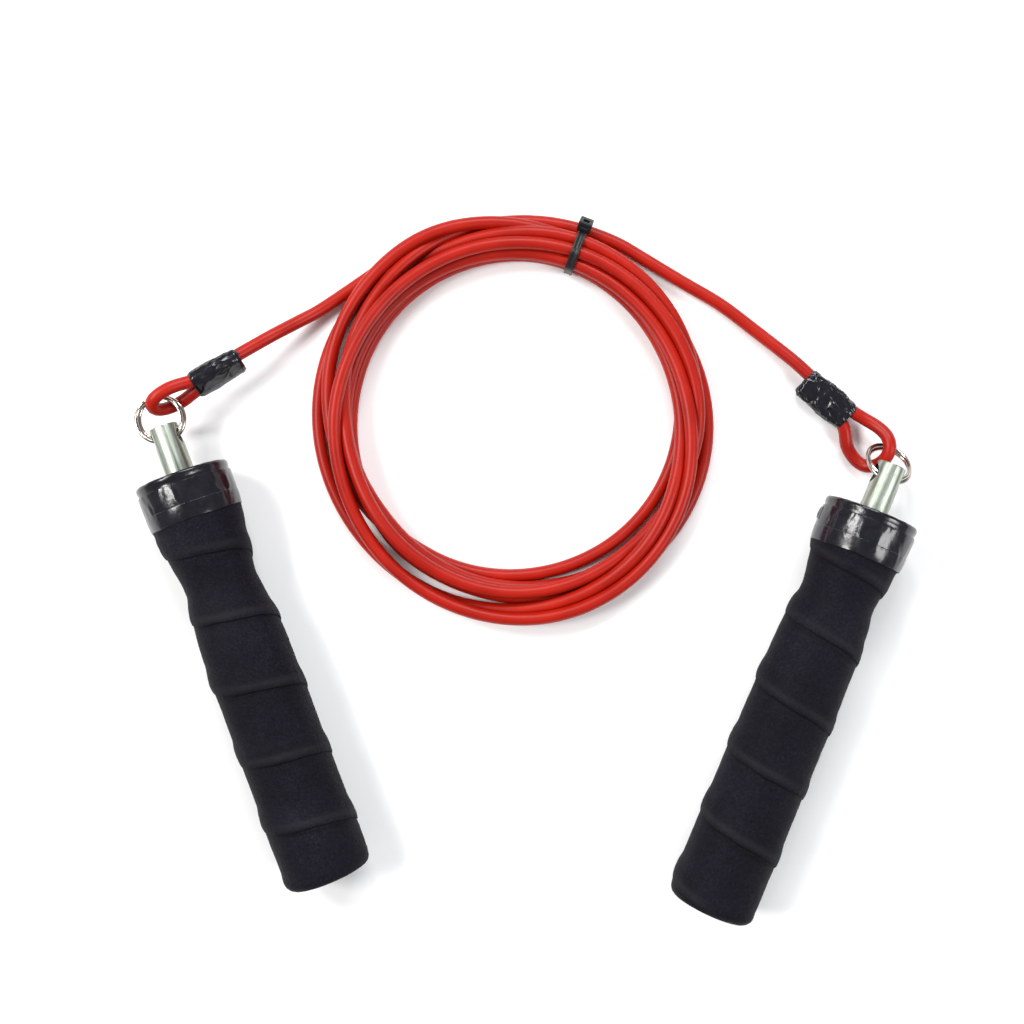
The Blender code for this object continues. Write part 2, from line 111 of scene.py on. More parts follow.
def lathe(name, side, outline, steps=96, wobble=None):
    """Closed (r, s) outline turned about the handle axis."""
    n = len(outline)
    verts, faces = [], []
    on_axis = [r < 1e-6 for r, s in outline]
    index = []
    for j, (r, s) in enumerate(outline):
        if on_axis[j]:
            index.append([len(verts)] * steps)
            verts.append(to_handle(side, 0.0, 0.0, s))
        else:
            row = []
            for i in range(steps):
                phi = math.tau * i / steps
                rr, ss = (r, s) if wobble is None else wobble(r, s, phi, j)
                row.append(len(verts))
                verts.append(to_handle(side, rr, phi, ss))
            index.append(row)
    rng = range(n) if not (on_axis[0] and on_axis[-1]) else range(n - 1)
    for j in rng:
        a, b = index[j], index[(j + 1) % n]
        for i in range(steps):
            k = (i + 1) % steps
            f = [a[i], a[k], b[k], b[i]]
            g = []
            for v in f:
                if v not in g:
                    g.append(v)
            if len(g) >= 3:
                faces.append(g)
    return fix_normals(mesh_object(name, verts, faces))


def rounded(outline, closed=True, steps=4):
    """Outline rows (r, s[, fillet]); corners with a fillet are rounded."""
    out = []
    n = len(outline)
    for i, c in enumerate(outline):
        if len(c) < 3 or c[2] <= 0:
            out.append((c[0], c[1]))
            continue
        p = np.array(c[:2], float)
        a = np.array(outline[i - 1][:2], float)
        b = np.array(outline[(i + 1) % n][:2], float)
        da, db = (a - p), (b - p)
        la, lb = np.hypot(*da), np.hypot(*db)
        f = min(c[2], 0.45 * la, 0.45 * lb)
        q0, q1 = p + da / la * f, p + db / lb * f
        for k in range(steps + 1):
            t = k / steps
            q = (1 - t) ** 2 * q0 + 2 * t * (1 - t) * p + t * t * q1
            out.append((float(q[0]), float(q[1])))
    return out


def smoothstep(a, b, x):
    t = min(1.0, max(0.0, (x - a) / (b - a)))
    return t * t * (3 - 2 * t)


def interp(table, x):
    return float(np.interp(x, [t[0] for t in table], [t[1] for t in table]))


def catmull(points, step):
    pts = [Vector(p) for p in points]
    pts = [pts[0] * 2 - pts[1]] + pts + [pts[-1] * 2 - pts[-2]]
    dense = []
    for i in range(1, len(pts) - 2):
        p0, p1, p2, p3 = pts[i - 1:i + 3]
        for k in range(24):
            t = k / 24.0
            dense.append(0.5 * ((2 * p1) + (p2 - p0) * t + (2 * p0 - 5 * p1 + 4 * p2 - p3) * t * t
                                + (3 * p1 - p0 - 3 * p2 + p3) * t ** 3))
    dense.append(pts[-2].copy())
    return resample(dense, step)


def resample(dense, step):
    d = np.array([tuple(p) for p in dense], float)
    run = np.concatenate([[0], np.cumsum(np.sqrt((np.diff(d, axis=0) ** 2).sum(1)))])
    n = max(2, int(round(run[-1] / step)))
    u = np.linspace(0, run[-1], n + 1)
    return np.stack([np.interp(u, run, d[:, i]) for i in range(3)], 1)


def smooth_line(P, rounds, fixed=2):
    P = P.copy()
    for _ in range(rounds):
        Q = P.copy()
        Q[1:-1] = 0.25 * P[:-2] + 0.5 * P[1:-1] + 0.25 * P[2:]
        Q[:fixed] = P[:fixed]
        Q[-fixed:] = P[-fixed:]
        P = Q
    return P


def tube_mesh(name, P, radius, sides=16, closed=False, up=Vector((0, 0, 1)), squash=(1.0, 1.0), taper=None):
    """Round tube along P (mm) with parallel-carried sections."""
    n = len(P)
    T = np.zeros((n, 3))
    if closed:
        T = np.roll(P, -1, 0) - np.roll(P, 1, 0)
    else:
        T[1:-1] = P[2:] - P[:-2]
        T[0] = P[1] - P[0]
        T[-1] = P[-1] - P[-2]
    T /= np.sqrt((T * T).sum(1))[:, None]
    N = np.array(up, float)
    N = N - T[0] * N.dot(T[0])
    N /= np.sqrt(N.dot(N))
    verts, rows = [], []
    for i in range(n):
        N = N - T[i] * N.dot(T[i])
        N /= np.sqrt(N.dot(N))
        B = np.cross(T[i], N)
        r = radius if taper is None else radius * taper(i / (n - 1))
        row = []
        for k in range(sides):
            a = math.tau * k / sides
            row.append(len(verts))
            verts.append((P[i] + r * (N * math.cos(a) * squash[0] + B * math.sin(a) * squash[1])) * MM)
        rows.append(row)
    faces = []
    for i in range(n if closed else n - 1):
        a, b = rows[i], rows[(i + 1) % n]
        for k in range(sides):
            l = (k + 1) % sides
            faces.append((a[k], a[l], b[l], b[k]))
    if not closed:
        faces.append(rows[0][::-1])
        faces.append(rows[-1])
    return fix_normals(mesh_object(name, verts, faces))


# ------------------------------------------------------------------ the cord
# Angle (deg) and distance (mm, as it looks on the floor) from the coil's middle of each stored turn, from above.
TURNS = (
    {35: 86.59, 40: 84.65, 45: 82.32, 50: 81.15, 55: 80.18, 60: 79.21, 65: 78.44, 70: 77.66, 80: 77.47, 90: 77.08, 100: 76.69, 110: 75.91, 120: 74.55, 130: 73.19, 135: 72.61, 140: 71.64, 145: 70.67, 150: 69.62, 155: 68.53, 160: 67.95, 170: 66.40, 180: 64.85, 190: 63.41, 200: 63.22, 210: 63.68, 220: 64.07, 230: 64.46, 240: 64.96, 250: 65.62, 260: 66.40, 270: 67.06, 280: 67.37, 290: 66.98, 300: 67.18, 310: 67.56, 320: 68.15, 330: 68.73, 340: 70.09, 350: 72.03, 360: 73.39, 370: 73.27, 380: 72.81, 390: 72.15, 400: 71.72, 410: 71.45, 420: 71.18, 430: 70.67},
    {80: 70.09, 90: 69.58, 100: 69.12, 110: 68.73, 120: 68.46, 130: 68.15, 140: 67.95, 150: 67.76, 160: 67.68, 170: 67.95, 180: 68.34, 190: 69.12, 200: 69.89, 210: 71.06, 220: 72.30, 230: 73.51, 240: 74.24, 250: 75.21, 260: 76.30, 270: 77.27, 280: 77.97, 290: 78.05, 300: 77.58, 310: 76.69, 320: 75.83, 330: 74.55, 340: 72.73, 350: 70.79, 360: 69.51, 370: 68.26, 380: 67.29, 390: 66.79, 400: 66.40, 410: 66.13, 420: 65.93, 430: 66.01},
    {80: 65.70, 90: 65.43, 100: 65.23, 110: 65.04, 120: 65.04, 130: 65.23, 140: 65.43, 150: 65.43, 160: 65.23, 170: 65.04, 180: 64.85, 190: 64.46, 210: 62.24, 220: 62.32, 230: 62.52, 240: 62.71, 250: 63.22, 260: 63.88, 270: 64.46, 280: 65.35, 290: 66.40, 300: 67.56, 310: 68.73, 320: 69.89, 330: 70.86, 340: 71.64, 350: 72.22, 360: 72.61, 370: 73.19, 380: 73.97, 390: 74.75, 400: 75.33, 410: 75.52, 420: 75.64, 430: 75.45},
    {80: 75.06, 90: 74.17, 100: 73.19, 110: 72.81, 120: 73.39, 125: 74.17, 130: 75.33, 135: 76.50, 140: 77.47, 145: 77.47, 150: 77.08, 160: 76.50, 170: 75.99, 180: 75.41, 190: 74.83, 200: 74.24, 210: 73.85, 220: 73.66, 240: 73.70, 260: 73.89, 270: 73.78, 280: 73.39, 290: 73.12, 300: 72.69, 310: 71.76, 320: 70.59, 330: 69.31, 340: 67.76, 350: 66.13, 360: 65.43, 370: 64.96, 380: 64.57, 390: 64.38, 400: 64.57, 410: 64.96, 420: 65.43, 430: 65.62},
    {80: 65.62, 90: 64.65, 100: 64.07, 110: 63.68, 120: 63.29, 130: 63.10, 140: 62.90, 150: 62.83, 170: 62.71, 180: 62.63, 190: 63.02, 210: 63.88, 220: 64.07, 230: 64.65, 240: 65.23, 250: 66.01, 260: 66.98, 270: 68.34, 280: 69.89, 290: 71.45, 300: 73.00, 310: 74.55, 318: 75.91, 325: 76.42, 330: 76.30, 340: 75.99, 350: 75.56, 360: 75.02, 370: 74.28, 380: 73.58, 390: 73.19, 400: 73.00, 410: 73.00, 420: 73.19, 430: 73.39},
    {80: 74.17, 90: 75.72, 95: 76.88, 100: 77.85, 105: 78.75, 110: 79.21, 115: 79.52, 120: 79.60, 125: 79.41, 130: 79.02, 135: 78.55, 140: 78.05, 145: 77.39, 150: 76.61, 155: 75.80, 160: 74.94, 165: 73.89, 170: 72.81, 175: 71.84, 180: 70.86, 185: 70.01, 190: 69.12, 200: 67.18, 210: 65.23, 220: 63.49, 228: 62.24, 235: 61.66, 240: 61.35, 250: 60.85, 260: 60.30, 270: 59.88, 280: 59.76, 290: 59.99, 300: 60.50, 310: 61.35, 320: 62.13, 330: 63.02, 340: 63.88, 350: 64.65, 360: 65.51, 370: 66.40, 380: 67.18, 390: 67.76, 400: 68.15, 410: 68.53, 420: 68.92, 430: 69.31},
    {80: 69.89, 90: 71.06, 100: 72.22, 110: 73.19, 119: 74.05, 126: 75.33, 135: 77.66, 143: 81.15},
)
# which turn lies over which, as a stacking rank along each turn
STACK = (
    {35: 0, 75: 0, 100: 1, 130: 3, 165: 3, 200: 4, 430: 4},
    {80: 5, 110: 5, 140: 6, 340: 6, 355: 5, 380: 4, 410: 3, 430: 3},
    {80: 3, 110: 2, 140: 2, 170: 2, 230: 3, 260: 2, 380: 2, 410: 3, 430: 4},
    {80: 4, 95: 4, 110: 2, 140: 1, 170: 0, 260: 0, 275: 1.5, 290: 3, 310: 5, 335: 5, 350: 3.4, 380: 2, 410: 1, 430: 0},
    {80: 0, 240: 0, 270: 1, 430: 1},
    {80: 1, 110: 1, 130: 3, 165: 3, 175: 2.6, 190: 2.3, 232: 2.2, 256: 0, 430: 0},
    {80: 0, 143: 0},
)
COIL_UP = 35.34  # mm from the view's middle up to the coil's, as it looks on the floor
COIL_Y = 35.0


def coil_route():
    """Lays the turns on each other under gravity, a cord's width apart, along their traced plan."""
    th, rr, rk = [], [], []
    for k, (t, q) in enumerate(zip(TURNS, STACK)):
        xs, qs = sorted(t), sorted(q)
        a = np.arange(37.5 if k == 0 else 77.5, xs[-1] + 0.01, 2.5)
        rr.append(np.interp(a, xs, [t[x] for x in xs]))
        rk.append(np.interp(a, qs, [q[x] for x in qs]))
        th.append(a + 360 * k)
    th, rr, rk = map(np.concatenate, (th, rr, rk))
    full = np.arange(37.5, th[-1] + 0.01, 1.6)
    r, k = np.interp(full, th, rr), np.interp(full, th, rk)
    for _ in range(6):
        r[1:-1] = 0.25 * r[:-2] + 0.5 * r[1:-1] + 0.25 * r[2:]
    for _ in range(12):
        k[1:-1] = 0.25 * k[:-2] + 0.5 * k[1:-1] + 0.25 * k[2:]
    a = np.radians(full)
    c, s = np.cos(a), np.sin(a)

    def target(z):
        kk = (CAM_H - z) / CAM_H
        return np.stack([r * c * kk, (r * s + COIL_UP) * kk], 1)

    z = CORD_D / 2 + k * 4.6
    P = np.concatenate([target(z), z[:, None]], 1)
    n = len(P)
    deg = full % 360
    idx = np.arange(n)
    near = np.minimum(abs(deg - 70), 360 - abs(deg - 70))
    floor = CORD_D / 2 + 1.3 * np.exp(-(near / 8.0) ** 2)
    dth = np.abs(deg[:, None] - deg[None, :])
    dth = np.minimum(dth, 360 - dth)
    I, J = np.nonzero((dth < 4.0) & (idx[None, :] - idx[:, None] > 40))
    rounds = 520
    for it in range(rounds):
        P[:, 2] -= 0.10 if it < rounds * 0.75 else 0.02
        P[:, :2] += (0.25 if it < rounds * 0.6 else 0.10) * (target(P[:, 2]) - P[:, :2])
        for _ in range(2):
            d = P[I] - P[J]
            L = np.sqrt((d * d).sum(1)) + 1e-9
            m = L < CORD_D
            if m.any():
                push = (0.45 * (CORD_D - L[m]) / L[m])[:, None] * d[m]
                push[:, :2] *= 0.6
                acc, cnt = np.zeros_like(P), np.zeros(n)
                np.add.at(acc, I[m], push)
                np.add.at(acc, J[m], -push)
                np.add.at(cnt, I[m], 1)
                np.add.at(cnt, J[m], 1)
                P += acc / np.maximum(1, cnt ** 0.5)[:, None] * 0.9
            P[:, 2] = np.maximum(P[:, 2], floor)
        rel = P[:, :2] - np.array([0.0, COIL_Y])
        R, ang = np.hypot(rel[:, 0], rel[:, 1]), np.arctan2(rel[:, 1], rel[:, 0])
        for w in (1, 3, 6):
            R[w:-w] += 0.20 * (0.5 * (R[:-2 * w] + R[2 * w:]) - R[w:-w])
            Z = P[:, 2]
            Z[w:-w] += 0.26 * (0.5 * (Z[:-2 * w] + Z[2 * w:]) - Z[w:-w])
        P[:, 0] = R * np.cos(ang)
        P[:, 1] = COIL_Y + R * np.sin(ang)
        P[:, 2] = np.maximum(P[:, 2], floor)
    P = smooth_line(P, 10)
    P[:, 0] += SHIFT[0]
    P[:, 1] += SHIFT[1]
    return P, full


# Left eye, as the CAD has it
L_EYE0, L_T, L_P = Vector((-119.4, 47.4, 0.0)), Vector((-0.900, -0.434, 0.0)), Vector((-0.434, 0.900, 0.0))
LS_T, LS_P = Vector((-0.855, -0.518, 0.0)), Vector((-0.518, 0.855, 0.0))
SLEEVE_L, L_SLOPE, STRAND, L_ROLL = 20.0, 0.12, 2.56, math.radians(55.0)
R_T, R_P = Vector((0.764, -0.645, 0.0)), Vector((0.645, 0.764, 0.0))
R_EYE0 = Vector((129.0, 36.3, 5.6))
SLEEVE_R, R_ROLL = 22.0, math.radians(15.0)


def left_pt(t, p, dz):
    if t < 0:
        q = L_EYE0 + LS_T * t + LS_P * p
        z = 17.3 + L_SLOPE * t
    else:
        q = L_EYE0 + L_T * t + L_P * p
        z = 17.3 + 0.5 * min(1.0, t / 9.0)
    return at(q.x, q.y, z + dz)


def left_strand(t, s):
    return left_pt(t, s * STRAND * math.cos(L_ROLL), s * STRAND * math.sin(L_ROLL))


def right_pt(t, p, dz):
    q = R_EYE0 + R_T * t + R_P * p
    return at(q.x, q.y, q.z + dz)


def right_strand(t, s):
    return right_pt(t, s * STRAND * math.cos(R_ROLL), s * STRAND * math.sin(R_ROLL))


LEFT_EYE = [
    left_pt(-SLEEVE_L - 7.0, 1.8, 0.2), left_pt(-SLEEVE_L - 2.5, 1.7, 0.8), left_pt(-17.0, 1.5, 1.7),
    left_strand(-14.0, 1), left_strand(-8.0, 1), left_strand(-3.0, 1), left_pt(0.5, 1.55, 2.3),
    left_pt(3.0, 2.0, 3.0), left_pt(6.0, 2.35, 3.9), left_pt(9.0, 2.3, 4.5), left_pt(12.0, 1.9, 4.75),
    left_pt(14.2, 1.45, 4.7), left_pt(16.2, 0.6, 4.1), left_pt(17.1, -0.5, 2.7), left_pt(17.0, -1.6, 1.0),
    left_pt(16.0, -2.35, -0.9), left_pt(14.3, -2.75, -2.8), left_pt(12.0, -2.85, -4.2),
    left_pt(9.0, -2.75, -4.8), left_pt(6.0, -2.5, -4.4), left_pt(3.0, -2.0, -3.2), left_pt(0.5, -1.6, -2.3),
    left_strand(-3.0, -1), left_strand(-8.0, -1), left_strand(-13.0, -1), left_strand(-17.0, -1)]
RIGHT_EYE = [
    right_pt(-SLEEVE_R - 8.0, 3.3, -0.6), right_pt(-SLEEVE_R - 2.5, 3.0, 0.0), right_strand(-18.0, 1),
    right_strand(-12.0, 1), right_strand(-7.0, 1), right_strand(-2.5, 1), right_pt(1.0, 2.9, 0.8),
    at(135.2, 35.6, 6.6), at(138.9, 33.2, 7.8), at(141.9, 30.3, 9.6), at(143.3, 27.3, 11.1),
    at(143.6, 24.4, 11.6), at(143.0, 21.6, 10.6), at(141.4, 19.2, 8.4), at(139.0, 17.6, 6.0),
    at(136.2, 17.5, 4.1), at(133.5, 19.0, 3.2), at(131.0, 22.0, 3.0), at(128.9, 26.0, 3.3),
    right_pt(3.4, -5.0, -1.2), right_pt(0.2, -3.0, -0.7), right_strand(-3.5, -1), right_strand(-7.5, -1),
    right_strand(-12.0, -1), right_strand(-18.5, -1)]
coil, coil_deg = coil_route()
left_eye = catmull(LEFT_EYE, 1.2)
right_eye = catmull(RIGHT_EYE, 1.2)
# right cut end -> eye -> tail -> coil -> tail -> left eye -> left cut end
right_in = [tuple(p) for p in right_eye[::-1]]
tail_r = [right_pt(-SLEEVE_R - 15.0, 3.3, -1.6), at(93.8, 69.9, 3.2), at(80.3, 80.2, 2.8)]
tail_l = [at(-72.0, 78.9, 4.2), at(-81.5, 73.0, 7.2), left_pt(-SLEEVE_L - 14.5, 1.9, -0.6)]
line = np.concatenate([
    np.array(right_in),
    catmull([right_in[-1], *tail_r, at(65.4, 88.9, 3.0), tuple(coil[13])], 1.6)[1:-1],
    coil[13:-8],
    catmull([tuple(coil[-9]), *tail_l, tuple(left_eye[0])], 1.6)[1:-1],
    left_eye])
line = resample([tuple(p) for p in smooth_line(line, 3)], 1.7)
line[:, 2] = np.maximum(line[:, 2], CORD_D / 2 + 0.02)

cu = bpy.data.curves.new("cord", "CURVE")
cu.dimensions = "3D"
cu.bevel_depth = CORD_D / 2 * MM
cu.bevel_resolution = 6
cu.use_fill_caps = True
sp = cu.splines.new("POLY")
sp.points.add(len(line) - 1)
for p, q in zip(sp.points, line):
    p.co = (q[0] * MM, q[1] * MM, q[2] * MM, 1.0)
sp.use_smooth = True
cord = bpy.data.objects.new("cord", cu)
bpy.context.scene.collection.objects.link(cord)

# ------------------------------------------------------------------ materials
MATS = {}


def nodes_of(name):
    m = bpy.data.materials.new(name)
    m.use_nodes = True
    nt = m.node_tree
    b = nt.nodes["Principled BSDF"]
    MATS[name] = m
    return m, nt, b


def noise_node(nt, scale, detail=4.0, rough=0.55, stretch=(1, 1, 1), distortion=0.0, rotate=(0, 0, 0)):
    tc = nt.nodes.new("ShaderNodeTexCoord")
    mp = nt.nodes.new("ShaderNodeMapping")
    mp.inputs["Scale"].default_value = stretch
    mp.inputs["Rotation"].default_value = rotate
    nz = nt.nodes.new("ShaderNodeTexNoise")
    nz.inputs["Scale"].default_value = scale
    nz.inputs["Detail"].default_value = detail
    nz.inputs["Roughness"].default_value = rough
    nz.inputs["Distortion"].default_value = distortion
    nt.links.new(tc.outputs["Object"], mp.inputs["Vector"])
    nt.links.new(mp.outputs["Vector"], nz.inputs["Vector"])
    return nz.outputs["Fac"]


def ramp(nt, fac, stops):
    cr = nt.nodes.new("ShaderNodeValToRGB")
    el = cr.color_ramp.elements
    el[0].position, el[0].color = stops[0][0], (*stops[0][1], 1)
    el[1].position, el[1].color = stops[-1][0], (*stops[-1][1], 1)
    for pos, col in stops[1:-1]:
        e = el.new(pos)
        e.color = (*col, 1)
    nt.links.new(fac, cr.inputs["Fac"])
    return cr.outputs["Color"]


def bump(nt, height, strength, distance, normal=None):
    bp = nt.nodes.new("ShaderNodeBump")
    bp.inputs["Strength"].default_value = strength
    bp.inputs["Distance"].default_value = distance
    nt.links.new(height, bp.inputs["Height"])
    if normal is not None:
        nt.links.new(normal, bp.inputs["Normal"])
    return bp.outputs["Normal"]


def map_range(nt, fac, a, b):
    mr = nt.nodes.new("ShaderNodeMapRange")
    mr.inputs["To Min"].default_value = a
    mr.inputs["To Max"].default_value = b
    nt.links.new(fac, mr.inputs["Value"])
    return mr.outputs["Result"]


def cord_material():
    m, nt, b = nodes_of("cord_pvc")
    fine = noise_node(nt, 900.0, 3.0, 0.6)
    broad = noise_node(nt, 45.0, 3.0, 0.55)
    nt.links.new(ramp(nt, broad, [(0.25, (0.28, 0.0055, 0.0014)), (0.55, (0.36, 0.0080, 0.0018)), (0.8, (0.42, 0.0115, 0.0028))]),
                 b.inputs["Base Color"])
    nt.links.new(map_range(nt, broad, 0.32, 0.46), b.inputs["Roughness"])
    b.inputs["Specular IOR Level"].default_value = 0.25
    b.inputs["Subsurface Weight"].default_value = 0.05
    b.inputs["Subsurface Radius"].default_value = (0.004, 0.0008, 0.0005)
    b.inputs["Subsurface Scale"].default_value = 0.3
    nt.links.new(bump(nt, fine, 0.10, 0.0002, bump(nt, broad, 0.15, 0.0006)), b.inputs["Normal"])
    return m


def wrap_material(name="grip_wrap"):
    m, nt, b = nodes_of(name)
    grain = noise_node(nt, 2600.0, 2.0, 0.7)
    pores = nt.nodes.new("ShaderNodeTexVoronoi")
    pores.feature = "F1"
    pores.inputs["Scale"].default_value = 1500.0
    tc = nt.nodes.new("ShaderNodeTexCoord")
    nt.links.new(tc.outputs["Object"], pores.inputs["Vector"])
    mid = noise_node(nt, 260.0, 5.0, 0.6)
    broad = noise_node(nt, 38.0, 4.0, 0.6)
    speck = noise_node(nt, 1050.0, 3.0, 0.8)
    base = ramp(nt, broad, [(0.25, (0.0025, 0.0023, 0.0050)), (0.55, (0.0050, 0.0046, 0.0094)), (0.8, (0.0104, 0.0098, 0.0180))])
    tone = ramp(nt, speck, [(0.34, (0.35, 0.35, 0.35)), (0.52, (0.95, 0.95, 0.95)), (0.72, (2.2, 2.2, 2.2))])

    def mix(kind, fac, one, two):
        mx = nt.nodes.new("ShaderNodeMix")
        mx.data_type = "RGBA"
        mx.blend_type = kind
        if isinstance(fac, float):
            mx.inputs[0].default_value = fac
        else:
            nt.links.new(fac, mx.inputs[0])
        for k, v in ((6, one), (7, two)):
            if isinstance(v, tuple):
                mx.inputs[k].default_value = (*v, 1.0)
            else:
                nt.links.new(v, mx.inputs[k])
        return mx.outputs[2]

    def attribute(label):
        an = nt.nodes.new("ShaderNodeAttribute")
        an.attribute_name = label
        return an.outputs["Fac"]

    grainy = mix("MULTIPLY", 1.0, base, tone)
    # painted highlight: a paler band just below each lap edge, where the raised strip catches the light, broken up by
    # noise
    painted_highlight_fac = nt.nodes.new("ShaderNodeMath")
    painted_highlight_fac.operation = "MULTIPLY"
    nt.links.new(attribute("painted_highlight_band"), painted_highlight_fac.inputs[0])
    nt.links.new(map_range(nt, mid, 0.25, 1.0), painted_highlight_fac.inputs[1])
    lit = mix("MIX", painted_highlight_fac.outputs[0], grainy, (0.0160, 0.0162, 0.0190))
    # painted shade: a near-black line along each lap edge, where the turn above steps down onto this one
    nt.links.new(mix("MIX", attribute("lap"), lit, (0.0008, 0.0008, 0.0012)), b.inputs["Base Color"])
    nt.links.new(map_range(nt, mid, 0.60, 0.80), b.inputs["Roughness"])
    b.inputs["Specular IOR Level"].default_value = 0.11
    b.inputs["Sheen Weight"].default_value = 0.01
    b.inputs["Sheen Roughness"].default_value = 0.5
    n1 = bump(nt, mid, 0.25, 0.0003, bump(nt, broad, 0.30, 0.0012))
    n2 = bump(nt, pores.outputs["Distance"], 0.45, 0.00016, n1)
    nt.links.new(bump(nt, grain, 0.45, 0.00010, n2), b.inputs["Normal"])
    return m


def vinyl_material(name="vinyl_tape", wr=1.0):
    m, nt, b = nodes_of(name)
    broad = noise_node(nt, 60.0, 3.0, 0.5, distortion=0.4)
    mid = noise_node(nt, 240.0, 4.0, 0.55, distortion=0.8)
    fine = noise_node(nt, 1500.0, 2.0, 0.6)
    nt.links.new(ramp(nt, mid, [(0.3, (0.0030, 0.0030, 0.0055)), (0.7, (0.0065, 0.0065, 0.0110))]), b.inputs["Base Color"])
    nt.links.new(map_range(nt, mid, 0.12, 0.30), b.inputs["Roughness"])
    b.inputs["Specular IOR Level"].default_value = 0.5
    b.inputs["Coat Weight"].default_value = 0.12
    b.inputs["Coat Roughness"].default_value = 0.08
    n1 = bump(nt, broad, 0.40 * wr, 0.0012)
    n2 = bump(nt, mid, 0.22 * wr, 0.0006, n1)
    nt.links.new(bump(nt, fine, 0.06, 0.0001, n2), b.inputs["Normal"])
    return m


def metal_material(name, dark, light, rough, streak=None, aniso=0.0):
    m, nt, b = nodes_of(name)
    b.inputs["Metallic"].default_value = 1.0
    st = streak or (1, 1, 1)
    lines = noise_node(nt, 700.0, 4.0, 0.6, stretch=st)
    blot = noise_node(nt, 120.0, 4.0, 0.6)
    nt.links.new(ramp(nt, blot, [(0.3, dark), (0.7, light)]), b.inputs["Base Color"])
    nt.links.new(map_range(nt, lines, rough * 0.75, rough * 1.35), b.inputs["Roughness"])
    nt.links.new(bump(nt, lines, 0.12, 0.00008, bump(nt, blot, 0.05, 0.0002)), b.inputs["Normal"])
    return m


def plastic_material(name, dark, light, rough, grain=500.0):
    m, nt, b = nodes_of(name)
    f = noise_node(nt, grain, 3.0, 0.6)
    g = noise_node(nt, 60.0, 3.0, 0.5)
    nt.links.new(ramp(nt, g, [(0.3, dark), (0.7, light)]), b.inputs["Base Color"])
    nt.links.new(map_range(nt, f, rough * 0.8, rough * 1.25), b.inputs["Roughness"])
    nt.links.new(bump(nt, f, 0.12, 0.0001), b.inputs["Normal"])
    return m


cord_material()
wrap_material()
vinyl_material()
vinyl_material("sleeve_vinyl", 0.8)
plastic_material("core_plastic", (0.018, 0.018, 0.020), (0.03, 0.03, 0.034), 0.42)
plastic_material("cap_plastic", (0.008, 0.008, 0.010), (0.016, 0.016, 0.019), 0.20)
plastic_material("nylon", (0.62, 0.61, 0.55), (0.74, 0.73, 0.67), 0.45)
plastic_material("tie_nylon", (0.003, 0.003, 0.004), (0.007, 0.007, 0.009), 0.42)
metal_material("bearing_steel", (0.42, 0.42, 0.43), (0.55, 0.55, 0.56), 0.22)
metal_material("cage_brass", (0.50, 0.38, 0.16), (0.66, 0.52, 0.24), 0.32)
metal_material("ring_steel", (0.36, 0.32, 0.28), (0.58, 0.54, 0.50), 0.16)
metal_material("clip_steel", (0.05, 0.05, 0.055), (0.10, 0.10, 0.105), 0.35)
metal_material("ferrule_alloy", (0.55, 0.55, 0.56), (0.70, 0.70, 0.71), 0.30)


def zinc_material(side):
    """Plated steel with drawn lines that run along the pin."""
    tx, ty = SIDES[side]["tip"]
    ang = math.atan2(ty, tx)
    m, nt, b = nodes_of("zinc_steel_" + side)
    b.inputs["Metallic"].default_value = 1.0
    tc = nt.nodes.new("ShaderNodeTexCoord")
    rot = nt.nodes.new("ShaderNodeMapping")
    rot.inputs["Rotation"].default_value = (0, 0, -ang)
    sc = nt.nodes.new("ShaderNodeMapping")
    sc.inputs["Scale"].default_value = (0.05, 1.0, 1.0)
    nt.links.new(tc.outputs["Object"], rot.inputs["Vector"])
    nt.links.new(rot.outputs["Vector"], sc.inputs["Vector"])

    def nz(scale, detail, vec):
        n = nt.nodes.new("ShaderNodeTexNoise")
        n.inputs["Scale"].default_value = scale
        n.inputs["Detail"].default_value = detail
        n.inputs["Roughness"].default_value = 0.65
        nt.links.new(vec.outputs["Vector"], n.inputs["Vector"])
        return n.outputs["Fac"]

    lines = nz(1400.0, 3.0, sc)
    bands = nz(620.0, 4.0, sc)
    blot = nz(420.0, 6.0, rot)
    nt.links.new(ramp(nt, bands, [(0.30, (0.13, 0.15, 0.12)), (0.47, (0.36, 0.40, 0.34)), (0.70, (0.58, 0.62, 0.55))]),
                 b.inputs["Base Color"])
    nt.links.new(map_range(nt, blot, 0.26, 0.58), b.inputs["Roughness"])
    nt.links.new(bump(nt, lines, 0.30, 0.00010, bump(nt, blot, 0.22, 0.00016)), b.inputs["Normal"])
    return m


for s in SIDES:
    zinc_material(s)


def use(ob, mat):
    ob.data.materials.clear()
    ob.data.materials.append(MATS[mat])
    return ob


use(cord, "cord_pvc")
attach(cord, "rope")
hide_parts("cord_coil", "cord_left_eye", "cord_left_tail", "cord_right_tail", "cord_right_eye")

